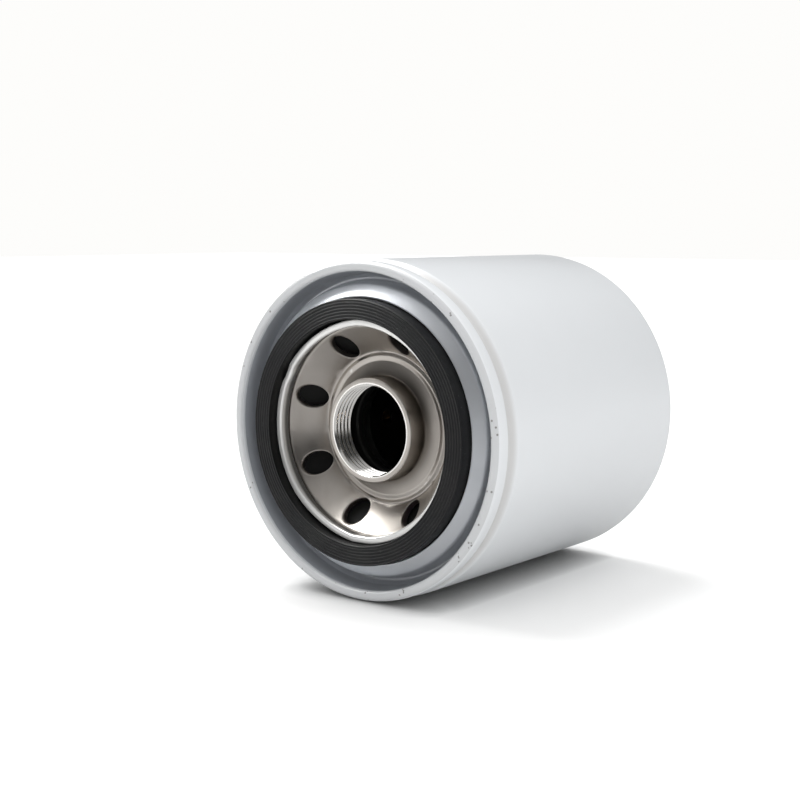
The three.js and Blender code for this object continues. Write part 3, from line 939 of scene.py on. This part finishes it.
def coil(low, high, radii, wire, turns, perTurn=44, around=14, slow=0.15, bent=(0.35, 0.9)):
    # Round wire wound about Y: x = radius cos a, z = radius sin a. Its height rises at the slow rate at
    # both ends, evenly in between, and at a bend over these shares of a turn. The ends are closed, and
    # ground flat at both heights.
    a = np.linspace(0, 2 * np.pi * turns, int(turns * perTurn) + 1)
    done = a / (2 * np.pi)
    rate = slow + (1 - slow) * ease(done, *bent) * ease(turns - done, *bent)
    rise = np.concatenate([[0], np.cumsum(rate[1:] + rate[:-1])])
    rise /= rise[-1]
    radius = radii[0] + (radii[1] - radii[0]) * rise
    height = low + wire / 2 + (high - low - wire) * rise
    middle = np.stack([radius * np.cos(a), height, radius * np.sin(a)], -1)
    ahead = np.gradient(middle, axis=0)
    up = np.cross(np.stack([np.cos(a), 0 * a, np.sin(a)], -1), ahead)
    up /= np.linalg.norm(up, axis=1)[:, None]
    out = np.cross(ahead, up)
    out /= np.linalg.norm(out, axis=1)[:, None]
    rows = np.concatenate([[0], np.arange(len(a)), [len(a) - 1]])
    size = np.full(len(rows), wire / 2)
    size[[0, -1]] = 0
    t = np.linspace(0, 2 * np.pi, around, endpoint=False)[:, None]
    ring = np.cos(t) * out[rows][:, None] + np.sin(t) * up[rows][:, None]
    points = middle[rows][:, None] + size[:, None, None] * ring
    points[..., 1] = np.clip(points[..., 1], low, high)
    return woven(points, roundU=False)


steels = {  # name: colour, colour of the duller patches, roughness, scale of the drawing lines
    "sheetSteel": ((0.36, 0.36, 0.35), (0.25, 0.25, 0.245), (0.30, 0.46), 1700.0),
    # the second steel is near black: painted shade for the centre tube, which lies deep in shade behind
    # the bore
    "shadeDarkSteel": ((0.075, 0.073, 0.07), (0.045, 0.044, 0.042), (0.35, 0.5), 1700.0),
    "springSteel": ((0.20, 0.205, 0.22), (0.11, 0.11, 0.12), (0.28, 0.45), 900.0),
}


def makeSteel(name):
    # Plain steel: patches between two colours, and fine drawing lines in the roughness and the relief.
    material, tree = newMaterial(name)
    colour, dulled, roughness, lines = steels[name]
    soft = useGroup(tree, smudges, scale=80.0, contrast=0.8)["mask"]
    drawn = useGroup(tree, turningMarks, lines=lines, fade=120.0)
    fine = useGroup(tree, grain, scale=1300.0, rough=0.6)["height"]
    rough = between(blend(0.5, drawn["mask"], soft), *roughness)
    return dress(material, colourMix(soft, colour, dulled), rough,
                 [(drawn["height"], 0.2, 0.02), (fine, 0.15, 0.015)], ("Metallic", 1.0))


pastes = {  # name: colour, colour of the drier patches, roughness, grain scale
    "sealantCompound": ((0.085, 0.065, 0.045), (0.13, 0.10, 0.075), (0.45, 0.65), 900.0),
    "capAdhesive": ((0.30, 0.28, 0.24), (0.37, 0.345, 0.30), (0.5, 0.7), 700.0),
}


def makePaste(name):
    # Cured paste: two tones in soft patches, with a lumpy skin.
    material, tree = newMaterial(name)
    colour, drier, roughness, scale = pastes[name]
    soft = useGroup(tree, smudges, scale=120.0, contrast=0.9)["mask"]
    lumps = useGroup(tree, grain, scale=scale, rough=0.55)
    return dress(material, colourMix(soft, colour, drier), between(lumps["mask"], *roughness),
                 [(lumps["height"], 0.4, 0.06)])


filterPaper = {
    "colour": (0.50, 0.335, 0.15),
    "soaked": (0.36, 0.22, 0.085),
    "fibreScale": (2600.0, 500.0),  # across and along the fibres
    "roughness": (0.78, 0.95),
    "specular": 0.25,
}


def makePaper():
    # Resin-treated paper: fibres are a noise stretched along the axis, over darker soaked patches.
    material, tree = newMaterial("filterPaper")
    p = filterPaper
    across, along = p["fibreScale"]
    fibres = noise(stretched(axes(tree), (across, along, across)), 1.0, 4.0)
    soft = useGroup(tree, smudges, scale=50.0, contrast=0.9)["mask"]
    colour = layered(p, (blend(0.5, fibres, soft), "soaked"))
    return dress(material, colour, between(fibres, *p["roughness"]), [(fibres, 0.35, 0.05)],
                 ("Specular IOR Level", p["specular"]))


steel = makeSteel("sheetSteel")
# near-black steel: painted shade for the centre tube deep inside the filter
darkSteel = makeSteel("shadeDarkSteel")
wireSteel = makeSteel("springSteel")
compound = makePaste("sealantCompound")
adhesive = makePaste("capAdhesive")

valveRubber = {
    "colour": (0.0035, 0.0034, 0.0033),
    "dusty": (0.007, 0.0068, 0.0065),
    "roughness": (0.5, 0.65),
}
rubber = makeRubber("valveRubber", **valveRubber)

seamSealant = {
    "node": "seam_sealant",
    "line": ((44.1, 0.2, 0.12), (44.22, 0, 0.12), (44.5, 0, 0.1), (44.5, 1.2, 0.15), (44.1, 1.0, 0.2)),
}
makeTurned("seamSealant", seamSealant, "housing", compound, columns=192)

antiDrainCollar = {
    "node": "anti_drain_collar",
    "line": ((13.0, 0.5, 0.3), (13.5, 0, 0.3), (17.8, 0, 0.35), (17.8, 2.9, 0.35), (16.6, 2.9, 0.2),
             (16.3, 2.5, 0.3), (14.6, 2.5, 0.3), (14.3, 2.9, 0.2), (13.0, 2.9, 0.3)),
}
makeTurned("antiDrainCollar", antiDrainCollar, "housing", rubber)

antiDrainFlap = {  # a soft dished disc over the back of the inlet holes
    "node": "anti_drain_flap",
    "line": ((18.1, 8.7, 0.4), (21.84, 8.7, 1.6), (29.76, 0.0, 1.2), (32.36, 0.0, 0.4)),
    "wall": 1.2,
    "edge": 0.4,
}
makeTurned("antiDrainFlap", antiDrainFlap, "anti_drain", rubber, columns=176)

upperEndCap = {
    "node": "upper_end_cap",
    "line": ((14.0, 3.6, 0.3), (14.0, 0, 0.6), (41.0, 0, 0.9), (41.0, 4.2, 0.3)),
    "wall": 0.6,
    "edge": 0.14,
}
makeTurned("upperEndCap", upperEndCap, "element", steel, columns=192)

lowerEndCap = {
    "node": "lower_end_cap",
    "line": ((8.0, 4.2, 0.3), (41.0, 4.2, 0.9), (41.0, 0, 0.3)),
    "wall": -0.6,
    "edge": 0.14,
}
makeTurned("lowerEndCap", lowerEndCap, "element", steel, columns=192)

potting = {
    "upper": ("upper_potting", 1),  # node, and the side the pleats lie on: 1 back, -1 front
    "lower": ("lower_potting", -1),
    "inner": 15.8,
    "bend": 0.35,
    "dents": 0.16,                  # depth of the dents that the pleats leave
    "dentBand": (17.5, 38.5),
    "fade": 1.0,                    # the dents fade out over this width
    "columns": 12,                  # per pleat
    "rings": 12,
}


def makePotting(which):
    # A ring of adhesive; where the pleats lie it sinks by dents * (1 - cos(pleats * a)) / 2.
    name, facing = potting[which]
    front, back, outer = span(name)
    inner, bend = potting["inner"], potting["bend"]
    face, rest = (back, front) if facing > 0 else (front, back)
    fade, pleats = potting["fade"], pleatedMedia["pleats"]
    corners = [(r, face, 0.2) for r in np.linspace(outer - fade, inner + fade, potting["rings"])]
    corners += [(inner, face, bend), (inner, rest, bend), (outer, rest, bend), (outer, face, bend)]
    outline = roundLine(corners)
    radius, along = outline.T
    grid = turned(outline, potting["columns"] * pleats)
    a = np.linspace(0, 2 * np.pi, len(grid), endpoint=False)[:, None]
    low, high = potting["dentBand"]
    inBand = ease(radius, low - fade, low) * (1 - ease(radius, high, high + fade))
    dents = potting["dents"] * inBand * (np.abs(along - face) < 0.01)
    grid[..., 1] -= facing * dents * (1 - np.cos(pleats * a)) / 2
    makePiece(which + "Potting", [woven(grid)], "element", adhesive, name)


pleatedMedia = {
    "pleats": 52,
    "inner": 16.1,
    "wall": 0.6,
    "crest": 0.97,  # below 1 the folds are rounded
    "columns": 14,  # per pleat
}


def makePleatedMedia():
    # Radius of the paper's middle = middle + swing * (2 / pi) * asin(crest * cos(pleats * (a - 90))),
    # set off by half the paper's thickness along the normal of that line.
    front, back, outer = span("pleated_media")
    p = pleatedMedia
    a = np.linspace(0, 2 * np.pi, p["pleats"] * p["columns"], endpoint=False)
    wave = 2 / np.pi * np.arcsin(p["crest"] * np.cos(p["pleats"] * (a - np.pi / 2)))
    swing = (outer - p["inner"] - p["wall"]) / 2
    radius = (outer + p["inner"]) / 2 + swing * wave / wave.max()
    line = np.column_stack([radius * np.cos(a), radius * np.sin(a)])
    ahead = np.roll(line, -1, 0) - np.roll(line, 1, 0)
    away = np.column_stack([ahead[:, 1], -ahead[:, 0]]) / np.hypot(*ahead.T)[:, None] * p["wall"] / 2
    grid = folded(line - away, line + away, front, back)
    paper = makePaper()
    makePiece("pleatedMedia", [woven(grid)], "element", paper, "pleated_media", sharp=60)


makePotting("upper")
makePotting("lower")
makePleatedMedia()

pleatClip = {
    "wall": 0.5,
    "depth": 5.0,
    "halfInside": 1.8,
    "bend": 0.35,
}


def makePleatClip():
    # A channel of sheet steel that closes the seam of the paper, folded over its last two pleats.
    front, back = span("pleat_clip")[:2]
    c = pleatClip
    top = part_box("pleat_clip")[1].z / mm - c["wall"]
    end, half, bend = top - c["depth"], c["halfInside"], c["bend"]
    line = [(end, -half, 0), (top, -half, bend), (top, half, bend), (end, half, 0)]
    inner = roundLine(line, closed=False)[:, ::-1]
    outer = roundLine(setOver(line, -c["wall"]), closed=False)[:, ::-1]
    grid = folded(inner, outer, front, back)
    halfway = (grid + folded(outer, inner, front, back)) / 2
    grid = np.concatenate([halfway[:1], grid, halfway[-1:]])
    makePiece("pleatClip", [woven(grid, roundU=False)], "element", steel, "pleat_clip")


makePleatClip()

centreTube = {
    "wall": 0.6,
    "hole": 2.2,
    "rows": 4,
    "perRow": 6,
    "edge": 0.12,
    "endBend": 0.1,
    "counts": (16, 12),  # columns and rows of points to a hole
}


def makeCentreTube():
    front, back, outer = span("centre_tube")
    c = centreTube
    step = (back - front) / (c["rows"] + 1)
    middles = front + step * np.arange(1, c["rows"] + 1)
    first, last = middles[0] - step / 2, middles[-1] + step / 2
    inner, bend = outer - c["wall"], c["endBend"]
    ends = (
        ((inner, first, 0), (inner, front, bend), (outer, front, bend), (outer, first, 0)),
        ((outer, last, 0), (outer, back, bend), (inner, back, bend), (inner, last, 0)),
    )
    hole = roundHole(c["hole"], c["hole"], 2)
    grids = piercedWall(outer, c, middles, step / 2, hole, ends)
    makePiece("centreTube", grids, "element", darkSteel, "centre_tube")


makeCentreTube()

bypassSeat = {
    "node": "bypass_seat",
    "line": ((6.5, 0, 0.35), (14.6, 0, 0.2), (14.6, 1.1, 0.3), (6.5, 1.1, 0.5)),
}
makeTurned("bypassSeat", bypassSeat, "element", steel, columns=112)

bypassSeal = {
    "node": "bypass_seal",
    "line": ((2.0, 0, 0.15), (9.0, 0, 0.3), (9.0, 1.0, 0.25), (8.6, 1.2, 0.3), (7.4, 1.2, 0.3),
             (7.0, 0.9, 0.3), (2.0, 0.9, 0.15)),
}
makeTurned("bypassSeal", bypassSeal, "bypass", rubber, columns=96)

bypassPoppet = {
    "disc": 1.0,
    "discBend": 0.3,
    "stem": 2.0,
    "stemBend": 0.5,
}


def makeBypassPoppet():
    front, back, outer = span("bypass_poppet")
    b = bypassPoppet
    disc, stem = back - b["disc"], b["stem"]
    outline = roundLine([
        (0, back, 0), (outer, back, b["discBend"]), (outer, disc, b["discBend"]),
        (stem, disc, b["stemBend"]), (stem, front, b["stemBend"]), (0, front, 0),
    ], closed=False)
    grid = woven(turned(outline, 96), roundV=False)
    makePiece("bypassPoppet", [grid], "bypass", steel, "bypass_poppet")


makeBypassPoppet()

bypassCage = {
    "wall": 0.8,
    "guide": 2.3,  # radius of the hole that the stem slides in
    "perRow": 4,   # windows round the cage
    "windowHalf": (4.0, 4.75),
    "windowFront": 3.3,
    "margin": 0.8,
    "edge": 0.15,
    "counts": (24, 20),
}


def makeBypassCage():
    front, back, outer = span("bypass_cage")
    c = bypassCage
    halfA, halfB = c["windowHalf"]
    middle = front + c["windowFront"] + halfB
    reach = halfB + c["margin"]
    inner, base, edge = outer - c["wall"], front + c["wall"], c["edge"]
    first, last = middle - reach, middle + reach
    ends = (
        ((inner, first, 0), (inner, base, 0.5), (c["guide"], base, edge), (c["guide"], front, edge),
         (outer, front, 1.2), (outer, first, 0)),
        ((outer, last, 0), (outer, back, edge), (inner, back, edge), (inner, last, 0)),
    )
    window = roundHole(halfA, halfB, 5)
    grids = piercedWall(outer, c, [middle], reach, window, ends)
    makePiece("bypassCage", grids, "element", steel, "bypass_cage")


makeBypassCage()

springCup = {
    "node": "spring_cup",
    "line": ((8.0, 0.8, 0.2), (20.4, 0.8, 0.7), (20.4, 3.8, 0.2)),
    "wall": -0.8,
    "edge": 0.2,
}
makeTurned("springCup", springCup, "element", steel, columns=128)

bypassSpring = {
    "radii": (6.0, 6.0),
    "wire": 1.0,
    "turns": 5,
    "lift": 4.0,
}

supportSpring = {
    "radii": (19.0, 15.0),
    "wire": 2.2,
    "turns": 2.5,
    "lift": 1.5,
}


def makeSpring(name, spec, nodeName, body):
    # Wire between the heights of the node it replaces.
    front, back = span(nodeName)[:2]
    grid = coil(front, back, spec["radii"], spec["wire"], spec["turns"])
    spring = makePiece(name, [grid], body, wireSteel, nodeName, sharp=50)
    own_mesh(spring)


makeSpring("bypassSpring", bypassSpring, "bypass_spring", "element")
makeSpring("supportSpring", supportSpring, "support_spring", "housing")
print("built the inner pieces")
